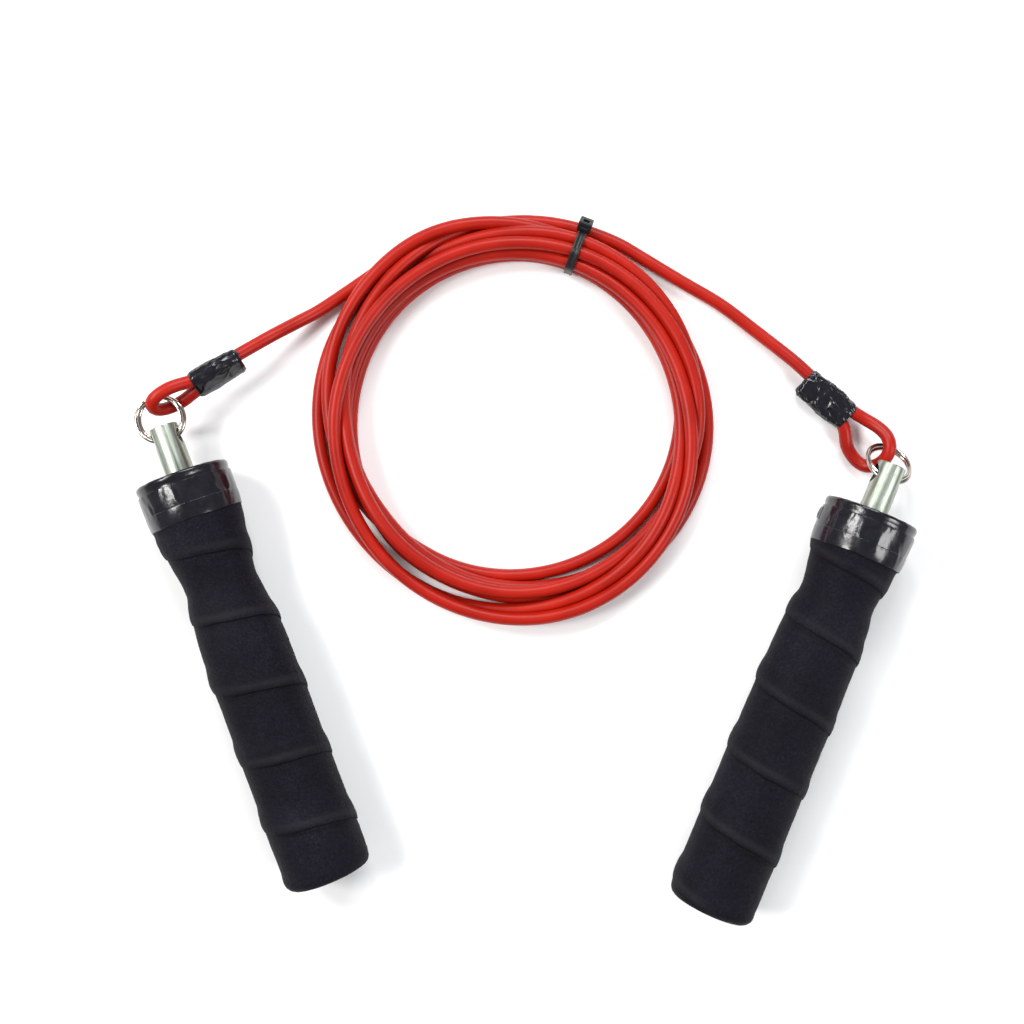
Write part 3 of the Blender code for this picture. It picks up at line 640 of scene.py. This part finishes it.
# ------------------------------------------------------------------ grip over-wrap
PROFILE = {
    "left": [(12.0, 16.9), (17.6, 17.1), (21.4, 16.75), (25.1, 16.1), (28.9, 15.5), (32.6, 15.0), (36.4, 14.3), (40.1, 13.75),
             (43.9, 13.55), (47.6, 14.1), (51.4, 14.55), (55.1, 14.95), (58.9, 15.4), (62.6, 15.75), (66.4, 16.0),
             (74.0, 16.2), (80.0, 16.25), (92.0, 16.3), (107.0, 16.3), (119.0, 16.3), (130.0, 16.45), (142.0, 16.6),
             (152.0, 16.6), (156.0, 16.5), (158.2, 16.15), (159.4, 15.5), (160.0, 14.6)],
    "right": [(12.0, 16.9), (15.5, 17.0), (18.5, 16.3), (22.2, 15.7), (26.0, 15.1), (29.6, 14.5), (33.4, 14.0), (37.0, 14.2),
              (41.0, 15.0), (45.0, 15.35), (48.8, 15.6), (52.2, 15.75), (60.0, 16.0), (67.0, 16.15), (74.0, 16.25),
              (85.0, 16.3), (97.0, 16.3), (110.0, 16.35), (125.0, 16.4), (140.0, 16.45), (150.0, 16.45),
              (156.0, 16.3), (158.2, 15.9), (159.4, 15.2), (160.0, 14.3)],
}
SEAM0 = {"left": 26.3, "right": 20.4}      # lap edge on the left flank, first turn
PITCH = {"left": 27.0, "right": 26.9}
LAP, THICK = 5.4, 0.58


def seam_at(side, phi):
    wob = 0.55 * math.sin(phi * 0.37 + (0.6 if side == "left" else 2.1)) + 0.3 * math.sin(phi * 1.31 + 1.0)
    return SEAM0[side] + PITCH[side] * phi / math.tau - 2.1 * (1 - math.cos(phi)) + wob


def wrap_strip(side):
    top, bottom = 14.6, 160.0
    width = PITCH[side] + LAP
    cols, rows = 44, []
    painted_highlight_band, painted_shade_line = [], []
    phi = -math.tau * 1.2
    step = math.tau / 132
    seed = Vector((3.1, 7.7, 1.3)) if side == "left" else Vector((11.4, 2.9, 5.8))
    verts, faces = [], []
    last = None
    while True:
        edge = seam_at(side, phi)
        a, b = max(top, edge - width), min(bottom, edge)
        if a > bottom - 0.6:
            break
        if b - a > 0.5:
            row = []
            for j in range(cols + 1):
                # rows crowd towards the lap edge, where the step is
                u = j / cols
                u = 1 - (1 - u) ** 1.35
                s = a + (b - a) * u
                w = (s - (edge - width)) / width
                r = interp(PROFILE[side], s)
                off = THICK * smoothstep(0.70, 0.85, w) - 0.16 * smoothstep(0.97, 1.0, w)
                if b < edge:
                    off *= smoothstep(bottom, bottom - 3.0, s) if s > bottom - 3.0 else 1.0
                q = Vector((math.cos(phi) * r, math.sin(phi) * r, s))
                soft = noise.noise((q + seed * 9) * 0.09) * 0.16 + noise.noise((q + seed) * 0.30) * 0.07
                # stretch creases that run with the strip and fan out at the lap
                run = Vector((phi * 5.2, w * 2.2, seed.x))
                crease = abs(noise.noise(run * 0.9)) * 0.16 * smoothstep(0.45, 0.95, w)
                pull = 0.20 * math.exp(-((w - 0.92) / 0.045) ** 2) * (0.8 + noise.noise(Vector((phi * 1.7, seed.y, 0))))
                edge_n = 0.35 * noise.noise(Vector((phi * 2.3, seed.z, 4.0))) * smoothstep(0.9, 1.0, w)
                row.append(len(verts))
                end = 1.0 if b < edge else 0.0
                # painted highlight mask: pale band just below the lap edge of each turn
                painted_highlight_band.append((1 - end) * math.exp(-((w - 0.925) / 0.042) ** 2) * min(1.0, max(0.0, 0.65 + 0.9 * noise.noise(Vector((phi * 1.1, seed.z, 2.0))))))
                # painted shade mask: dark line at this turn's lap edge and under the edge of the turn lying over it
                painted_shade_line.append((1 - end) * smoothstep(0.985, 0.998, w) + 0.8 * math.exp(-((s - (edge - PITCH[side])) / 0.55) ** 2) * smoothstep(top, top + 3, s))
                verts.append(to_handle(side, r + off + soft - crease + pull, phi, min(bottom, s + edge_n)))
            if last is not None:
                for j in range(cols):
                    faces.append((last[j], last[j + 1], row[j + 1], row[j]))
            last = row
        phi += step
    ob = mesh_object("grip_wrap_visual_" + side, verts, faces)
    bm = bmesh.new()
    bm.from_mesh(ob.data)
    # outward side away from the handle axis
    rim, tip, up, right = HF[side]
    bm.faces.ensure_lookup_table()
    f = bm.faces[len(bm.faces) // 2]
    c = f.calc_center_median() / MM - rim
    if f.normal.dot(c - tip * c.dot(tip)) < 0:
        bmesh.ops.reverse_faces(bm, faces=bm.faces)
    bm.to_mesh(ob.data)
    bm.free()
    # the first mask carries the painted highlight band, the second the painted shade line; the wrap material reads both
    for label, values in (("painted_highlight_band", painted_highlight_band), ("lap", painted_shade_line)):
        at_ = ob.data.attributes.new(label, "FLOAT", "POINT")
        at_.data.foreach_set("value", values)
    so = ob.modifiers.new("sheet", "SOLIDIFY")
    so.thickness = (THICK - 0.04) * MM
    so.offset = -1.0
    use(ob, "grip_wrap")
    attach(ob, "handle_" + side)
    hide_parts("grip_wrap_" + side)
    return ob


# ------------------------------------------------------------------ vinyl tape round the head
def tape_band(side):
    seed = 4.7 if side == "left" else 13.9

    def rough(r, s, phi, j):
        x = Vector((math.cos(phi) * 2.2, math.sin(phi) * 2.2, s * 0.16 + seed))
        y = Vector((math.cos(phi) * 5.5, math.sin(phi) * 5.5, s * 0.10 + seed * 2))
        outer = smoothstep(15.6, 16.6, r)
        low = smoothstep(4.0, 16.0, s)
        dr = outer * (0.16 * noise.noise(x) + 0.10 * abs(noise.noise(y)) * low)
        return r + dr, s + 0.10 * noise.noise(y * 1.3) * outer

    folds = [(0.75, 0.020, 0.16, 4, 12, 0.050), (1.15, -0.030, 0.20, 3, 9, 0.040), (1.52, 0.015, 0.22, 5, 16, 0.045),
             (1.95, -0.012, 0.18, 3, 13, 0.055), (2.35, 0.030, 0.14, 6, 17, 0.050), (2.80, -0.020, 0.16, 4, 15, 0.060),
             (4.1, 0.02, 0.15, 4, 14, 0.06), (5.3, -0.02, 0.15, 4, 14, 0.06)]

    def fold(phi, s):
        total = 0.0
        for k, (p0, slant, amp, s0, s1, w) in enumerate(folds):
            d = (phi - p0 - slant * (s - 8) - 0.03 * math.sin(s * 0.9 + k) + (0.25 if side == "right" else 0.0)) / w
            if abs(d) < 3:
                win = smoothstep(s0 - 1.5, s0 + 1.5, s) * smoothstep(s1 + 1.5, s1 - 1.5, s)
                total += amp * win * (math.exp(-d * d) - 0.6 * math.exp(-(d - 1.6) ** 2))
        return total

    def coat(r, s, phi, j):
        rr, ss = rough(r, s, phi, j)
        rr += fold(phi, s) * smoothstep(16.6, 17.3, r)
        edge = smoothstep(10.0, 17.0, s)
        return rr, ss + 0.55 * edge * noise.noise(Vector((math.cos(phi) * 1.6, math.sin(phi) * 1.6, seed)))

    out_edge = 12.6
    # first layer: over the rim and down past the flare
    one = rounded([(16.45, 0.75, 0.2), (17.20, 0.0, 0.5), (17.72, 0.75, 0.5), (17.72, 1.7), (17.52, 2.5), (17.36, 3.2), (17.55, 4.2), (17.66, 6.5), (17.60, 9.5), (17.5, 12.0),
                   (17.45, 14.0), (17.35, 16.6, 0.08), (17.05, 16.6, 0.08), (17.1, 14.0), (17.1, 2.0), (16.8, 0.9)])
    a = lathe("head_tape_inner_" + side, side, one, 160, rough)
    # second layer: starts below the rim
    two = rounded([(17.66, 3.85, 0.05), (17.88, 3.9, 0.10), (17.90, 5.0), (17.90, 6.5), (17.88, 8.0), (17.86, 9.5), (17.82, 10.6), (17.78, 11.5), (17.72, out_edge, 0.10),
                   (17.50, out_edge, 0.05), (17.55, 9.5), (17.6, 6.5)])
    b = lathe("head_tape_outer_" + side, side, two, 160, coat)
    # third turn of tape on the flare
    three = rounded([(17.55, 11.6, 0.05), (17.86, 12.0, 0.10), (17.80, 14.0), (17.62, 16.0), (17.42, 17.6, 0.10), (17.1, 17.6, 0.05),
                     (17.3, 15.0), (17.4, 13.0)])
    c = lathe("head_tape_low_" + side, side, three, 160, coat)
    for ob in (a, b, c):
        use(ob, "vinyl_tape")
        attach(ob, "handle_" + side)
    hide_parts("neck_tape_" + side)
    # loose end of the tape, a small flag on the flank
    if side == "left":
        return
    phi0, sgn = 0.05, -1
    verts, faces = [], []
    nu, nv = 10, 16
    for i in range(nu + 1):
        for j in range(nv + 1):
            u, v = i / nu, j / nv
            s = 5.0 + v * 5.0
            lift = 0.06 + 0.6 * u ** 2 * (0.35 + 0.65 * math.sin(math.pi * v) ** 0.6)
            phi = phi0 + sgn * (u * 0.16)
            verts.append(to_handle(side, 17.90 + lift, phi, s + 0.4 * u * math.sin(5 * v)))
    for i in range(nu):
        for j in range(nv):
            k = i * (nv + 1) + j
            faces.append((k, k + 1, k + nv + 2, k + nv + 1))
    flag = mesh_object("head_tape_end_" + side, verts, faces)
    so = flag.modifiers.new("sheet", "SOLIDIFY")
    so.thickness = 0.14 * MM
    so.offset = 0.0
    use(flag, "vinyl_tape")
    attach(flag, "handle_" + side)


# ------------------------------------------------------------------ plates, caps, pins
def plate_and_cap(side):
    plate = rounded([(5.9, 0.35, 0.2), (9.2, 0.35, 0.3), (9.9, 0.75, 0.3), (15.4, 0.75, 0.3), (16.0, 0.25, 0.25), (16.6, 0.25, 0.25),
                     (16.6, 1.9, 0.2), (5.9, 1.9, 0.2)])
    p = use(lathe("retainer_plate_visual_" + side, side, plate, 128), "core_plastic")
    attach(p, "handle_" + side)
    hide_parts("retainer_plate_" + side)
    cap = rounded([(0.0, 150.0), (12.2, 150.0, 0.4), (12.2, 156.9), (14.4, 157.0, 0.3), (15.0, 158.2, 0.6), (14.75, 159.6, 0.7),
                   (13.0, 160.0, 0.4), (10.5, 160.0, 0.2), (10.2, 159.55, 0.2), (9.0, 159.55, 0.2), (8.7, 160.0, 0.2), (0.0, 160.0)])
    c = use(lathe("end_cap_visual_" + side, side, cap, 128), "cap_plastic")
    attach(c, "handle_" + side)
    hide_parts("end_cap_" + side)


def pin(side):
    prof = rounded([(0.0, -19.4), (5.4, -19.4, 0.45), (5.4, 2.2, 0.1), (4.9, 2.25), (4.9, 26.3, 0.1), (4.0, 26.3), (4.0, 27.6),
                    (4.9, 27.6, 0.1), (4.4, 30.5, 0.2), (0.0, 30.5)], steps=5)
    ob = lathe("spindle_visual_" + side, side, prof, 128)
    rim, tip, up, right = HF[side]
    hole = rim + tip * 14.2
    m = Matrix((up, right.cross(up) * 1.0, right)).transposed().to_4x4()

    def cutter(r1, r2, depth, shift):
        bm = bmesh.new()
        bmesh.ops.create_cone(bm, cap_ends=True, segments=64, radius1=r1 * MM, radius2=r2 * MM, depth=depth * MM)
        me = bpy.data.meshes.new("cut")
        bm.to_mesh(me)
        bm.free()
        o = bpy.data.objects.new("cut", me)
        bpy.context.scene.collection.objects.link(o)
        o.matrix_world = Matrix.Translation((hole + right * shift) * MM) @ m
        return o

    cuts = [cutter(3.0, 3.0, 20.0, 0.0), cutter(2.6, 4.6, 2.4, 5.3), cutter(4.6, 2.6, 2.4, -5.3)]
    for c in cuts:
        b = ob.modifiers.new("hole", "BOOLEAN")
        b.operation = "DIFFERENCE"
        b.solver = "EXACT"
        b.object = c
    bpy.context.view_layer.update()
    dg = bpy.context.evaluated_depsgraph_get()
    me = bpy.data.meshes.new_from_object(ob.evaluated_get(dg))
    ob.modifiers.clear()
    ob.data = me
    for c in cuts:
        bpy.data.objects.remove(c, do_unlink=True)
    me.polygons.foreach_set("use_smooth", [True] * len(me.polygons))
    bm = bmesh.new()
    bm.from_mesh(me)
    for e in bm.edges:
        if len(e.link_faces) == 2 and e.calc_face_angle() > math.radians(28):
            e.smooth = False
    bm.to_mesh(me)
    bm.free()
    use(ob, "zinc_steel_" + side)
    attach(ob, "pin_" + side)
    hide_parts("spindle_" + side)


def split_ring(side):
    rim, tip, up, right = HF[side]
    tilt = math.radians(SIDES[side]["tilt"])
    hole = rim + tip * 14.2
    along = (tip * math.cos(tilt) - up * math.sin(tilt)).normalized()
    normal = right.cross(along).normalized()
    if normal.z < 0:
        normal = -normal
    centre = hole + along * 8.0
    gap = math.radians(15.0)
    span = math.tau * 2 - 2 * gap
    n = 260
    P = []
    for k in range(n + 1):
        a = gap + span * k / n
        f = smoothstep(math.tau - gap, math.tau + gap, a)
        q = centre + (right * math.cos(a + 1.75) + along * math.sin(a + 1.75)) * 8.45
        q = q + normal * (1.66 * (f - 0.5)) - right * (0.9 * (f - 0.5))
        P.append(tuple(q))
    ob = tube_mesh("split_ring_visual_" + side, np.array(P), 0.78, 18, up=normal, squash=(1.0, 0.94))
    use(ob, "ring_steel")
    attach(ob, "ring_" + side)
    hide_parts("split_ring_" + side)


# ------------------------------------------------------------------ tape sleeves over the eyes' joins
def sleeve(side):
    if side == "left":
        t_dir, p_dir, roll, length = Vector((LS_T.x, LS_T.y, L_SLOPE)).normalized(), LS_P, L_ROLL, SLEEVE_L
        start = Vector(left_pt(-SLEEVE_L, 0, 0))
        seed = 2.0
    else:
        t_dir, p_dir, roll, length = R_T, R_P, R_ROLL, SLEEVE_R
        start = Vector(right_pt(-SLEEVE_R, 0, 0))
        seed = 8.0
    x = (p_dir * math.cos(roll) + Vector((0, 0, 1)) * math.sin(roll))
    x = (x - t_dir * x.dot(t_dir)).normalized()
    y = t_dir.cross(x)
    nu, nv = 168, 96
    verts, faces = [], []

    def ring_at(u, inset):
        row = []
        ends = smoothstep(0.0, 0.05, u) * smoothstep(1.0, 0.95, u)
        # fuller over the ferrule, drawn in at the ends
        body = math.exp(-((u - (0.66 if side == "left" else 0.5)) / 0.42) ** 2)
        lip = 0.55 * (1 - smoothstep(0.0, 0.07, u)) + 0.30 * (1 - smoothstep(1.0, 0.95, u))
        hw = 5.25 + (0.75 if side == "left" else 0.95) * body - inset - lip
        hh = 3.05 + 0.65 * body - inset - lip * 0.8
        for k in range(nu):
            a = math.tau * k / nu
            c, s = math.cos(a), math.sin(a)
            px = math.copysign(abs(c) ** 0.74, c) * hw
            py = math.copysign(abs(s) ** 0.74, s) * hh
            q = Vector((c * 1.5, s * 1.5, u * length * 0.22 + seed))
            w = Vector((c * 3.4 + u * 2.5, s * 3.4, u * length * 0.35 + seed * 2))
            much = 0.15 if side == "left" else 0.33
            v = Vector((c * 1.25 + u * 1.1, s * 1.25, u * length * 0.11 + seed * 3))
            fold = max(0.0, 1 - 7.0 * abs(noise.noise(v))) ** 1.5 + 0.7 * max(0.0, 1 - 6.0 * abs(noise.noise(v * 1.9 + Vector((3, 5, 7))))) ** 1.5
            crumple = 0.22 * noise.noise(q * 1.1) + much * (fold - 0.3)
            lap = (a - 1.9 - 0.5 * (u - 0.5)) % math.tau
            ridge = 0.26 * smoothstep(0.0, 0.10, lap) * smoothstep(2.6, 0.4, lap)
            f = 0.0 if inset else (crumple + ridge) * (0.35 + 0.65 * ends)
            d = math.hypot(px, py)
            off = 1 + f / d
            lengthwise = 0.35 * noise.noise(Vector((c * 1.7, s * 1.7, seed + (0 if u < 0.5 else 5)))) * (1 - ends)
            row.append(start + t_dir * (u * length + lengthwise) + x * px * off + y * py * off)
        return row

    rings = [ring_at(0.0, 0.30)]
    for j in range(nv + 1):
        rings.append(ring_at(j / nv, 0.0))
    rings.append(ring_at(1.0, 0.30))
    # inner face
    rings.append(ring_at(0.985, 0.42))
    rings.append(ring_at(0.015, 0.42))
    idx = []
    for r in rings:
        row = []
        for q in r:
            row.append(len(verts))
            verts.append(q * MM)
        idx.append(row)
    m = len(idx)
    for j in range(m):
        a, b = idx[j], idx[(j + 1) % m]
        for k in range(nu):
            l = (k + 1) % nu
            faces.append((a[k], a[l], b[l], b[k]))
    ob = fix_normals(mesh_object("tape_sleeve_visual_" + side, verts, faces))
    use(ob, "sleeve_vinyl")
    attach(ob, "rope")
    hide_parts("tape_sleeve_" + side)


# ------------------------------------------------------------------ cable tie
def hull2(points):
    pts = sorted(points)

    def half(ps):
        out = []
        for p in ps:
            while len(out) >= 2 and (out[-1][0] - out[-2][0]) * (p[1] - out[-2][1]) - (out[-1][1] - out[-2][1]) * (p[0] - out[-2][0]) <= 0:
                out.pop()
            out.append(p)
        return out
    lo, hi = half(pts), half(pts[::-1])
    return lo[:-1] + hi[:-1]


def cable_tie():
    ang = math.radians(69.4)
    rad = Vector((math.cos(ang), math.sin(ang), 0.0))
    tan = Vector((-math.sin(ang), math.cos(ang), 0.0))
    c0 = Vector(at(0.0, COIL_Y, 0.0))
    # where each strand crosses the tie's plane
    rel = line - np.array(c0)
    side = rel @ np.array(tan)
    out = rel @ np.array(rad)
    hits = []
    for i in range(len(line) - 1):
        if side[i] * side[i + 1] <= 0 and out[i] > 40:
            f = side[i] / (side[i] - side[i + 1] + 1e-12)
            hits.append((float(out[i] + f * (out[i + 1] - out[i])), float(line[i][2] + f * (line[i + 1][2] - line[i][2]))))
    print("strands in the tie:", [(round(a, 1), round(b, 1)) for a, b in sorted(hits)])
    ring = []
    for r, z in hits:
        for k in range(40):
            a = math.tau * k / 40
            ring.append((r + (CORD_D / 2 + 0.62) * math.cos(a), max(0.62, z + (CORD_D / 2 + 0.62) * math.sin(a))))
    hull = hull2(ring)
    P = resample([(r, z, 0.0) for r, z in hull + [hull[0]]], 0.5)[:-1]
    half_w, half_t = 1.6, 0.55
    verts, faces = [], []
    n = len(P)
    sec = [(-half_w, -half_t), (-half_w, half_t * 0.55), (-half_w * 0.86, half_t), (-0.5 * half_w, half_t), (-0.45 * half_w, half_t * 0.72),
           (0.45 * half_w, half_t * 0.72), (0.5 * half_w, half_t), (half_w * 0.86, half_t), (half_w, half_t * 0.55), (half_w, -half_t)]
    for i in range(n):
        t = P[(i + 1) % n] - P[i - 1]
        t /= np.sqrt(t.dot(t))
        nrm = (t[1], -t[0])
        tooth = 0.07 if i % 2 else 0.0
        for w, h in sec:
            hh = h if h > 0 else h + tooth
            r, z = P[i][0] + nrm[0] * hh, P[i][1] + nrm[1] * hh
            verts.append((c0 + rad * r + Vector((0, 0, max(0.03, z))) + tan * w) * MM)
    m = len(sec)
    for i in range(n):
        a, b = i * m, ((i + 1) % n) * m
        for k in range(m):
            l = (k + 1) % m
            faces.append((a + k, a + l, b + l, b + k))
    ob = fix_normals(mesh_object("cable_tie_strap", verts, faces))
    use(ob, "tie_nylon")
    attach(ob, "rope")
    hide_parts("cable_tie")
    # head: bevelled block with the strap slot and the pawl window
    best = None
    for i in range(len(hull)):
        (r0, z0), (r1, z1) = hull[i], hull[(i + 1) % len(hull)]
        size = math.hypot(r1 - r0, z1 - z0)
        nr, nz = (z1 - z0) / size, -(r1 - r0) / size
        if nr > 0.25 and nz > 0.25 and (best is None or size > best[0]):
            best = (size, (r0 + r1) / 2, (z0 + z1) / 2, nr, nz)
    _, mr, mz, nr, nz = best
    face = (rad * nr + Vector((0, 0, nz))).normalized()
    centre = c0 + rad * (mr + nr * 1.7) + Vector((0, 0, mz + nz * 1.7))
    print("tie head at", [round(v, 2) for v in (mr, mz, nr, nz)])
    mat = Matrix.Translation(centre * MM) @ Matrix((face, tan, face.cross(tan))).transposed().to_4x4()

    def block(name, size, where, bev, seg=3):
        bm = bmesh.new()
        bmesh.ops.create_cube(bm, size=1.0)
        bmesh.ops.scale(bm, vec=[v * MM for v in size], verts=bm.verts)
        bmesh.ops.bevel(bm, geom=list(bm.edges), offset=bev * MM, segments=seg, profile=0.6, affect="EDGES")
        me = bpy.data.meshes.new(name)
        bm.to_mesh(me)
        bm.free()
        o = bpy.data.objects.new(name, me)
        bpy.context.scene.collection.objects.link(o)
        o.matrix_world = mat @ Matrix.Translation([w * MM for w in where])
        return o

    head = block("cable_tie_head", (4.4, 5.3, 5.0), (0, 0, 0), 0.7)
    cuts = [block("slot", (1.5, 3.5, 9.0), (-0.2, 0, 0), 0.1, 1), block("window", (3.0, 2.4, 2.0), (2.4, 0, 0.6), 0.2, 1)]
    for c in cuts:
        b = head.modifiers.new("cut", "BOOLEAN")
        b.operation = "DIFFERENCE"
        b.solver = "EXACT"
        b.object = c
    bpy.context.view_layer.update()
    me = bpy.data.meshes.new_from_object(head.evaluated_get(bpy.context.evaluated_depsgraph_get()))
    head.modifiers.clear()
    head.data = me
    for c in cuts:
        bpy.data.objects.remove(c, do_unlink=True)
    me.polygons.foreach_set("use_smooth", [False] * len(me.polygons))
    # cut end of the strap, just proud of the head
    stub = block("cable_tie_cut_end", (1.15, 3.2, 6.2), (-0.2, 0, 0.1), 0.12, 1)
    for o in (head, stub):
        use(o, "tie_nylon")
        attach(o, "rope")
    return [ob, head, stub]


for s in SIDES:
    wrap_strip(s)
    tape_band(s)
    plate_and_cap(s)
    pin(s)
    split_ring(s)
    sleeve(s)
tie = cable_tie()

# hidden pieces keep their CAD shape and get a finish of their own
KEEP = {"handle_core": "core_plastic", "bearing_outer_race": "bearing_steel", "bearing_inner_race": "bearing_steel",
        "ball_cage": "cage_brass", "rear_bush": "nylon", "thrust_washer": "bearing_steel", "circlip": "clip_steel",
        "crimp_ferrule": "ferrule_alloy"}
for base, mat in KEEP.items():
    for s in SIDES:
        use(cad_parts[base + "_" + s], mat)

# ------------------------------------------------------------------ floor and light
bm = bmesh.new()
bmesh.ops.create_grid(bm, x_segments=1, y_segments=1, size=4.0)
me = bpy.data.meshes.new("floor")
bm.to_mesh(me)
bm.free()
floor = bpy.data.objects.new("floor", me)
bpy.context.scene.collection.objects.link(floor)
floor.location = (0, 0, -0.0002)
m, nt, b = nodes_of("floor")
f = noise_node(nt, 30.0, 2.0, 0.5)
nt.links.new(ramp(nt, f, [(0.3, (0.93, 0.93, 0.93)), (0.7, (0.95, 0.95, 0.95))]), b.inputs["Base Color"])
b.inputs["Roughness"].default_value = 0.9
b.inputs["Specular IOR Level"].default_value = 0.1
floor.data.materials.append(m)


def area(name, loc, target, size, power, colour=(1, 1, 1)):
    l = bpy.data.lights.new(name, "AREA")
    l.shape = "RECTANGLE"
    l.size, l.size_y = size
    l.energy = power
    l.color = colour
    o = bpy.data.objects.new(name, l)
    bpy.context.scene.collection.objects.link(o)
    o.location = loc
    o.rotation_euler = (Vector(target) - Vector(loc)).to_track_quat("-Z", "Y").to_euler()
    return o


for k, dy in enumerate((-0.24, 0.24)):
    area("window_left_%d" % k, (-0.80, 0.30 + dy, 1.0), (0, 0.03, 0), (0.30, 0.36), 8.0, (1.0, 0.99, 0.97))
for k, dx in enumerate((-0.30, 0.0, 0.30)):
    area("window_top_%d" % k, (0.15 + dx, 1.05, 1.0), (0, 0.03, 0), (0.22, 0.34), 4.6, (0.97, 0.99, 1.0))
area("fill_right", (0.85, -0.25, 0.9), (0, 0.03, 0), (0.40, 0.5), 7.0)
world = bpy.data.worlds.new("world")
bpy.context.scene.world = world
world.use_nodes = True
world.node_tree.nodes["Background"].inputs["Color"].default_value = (0.90, 0.93, 0.97, 1)
world.node_tree.nodes["Background"].inputs["Strength"].default_value = 0.30
bpy.context.scene.view_settings.view_transform = "Standard"

bpy.context.view_layer.update()
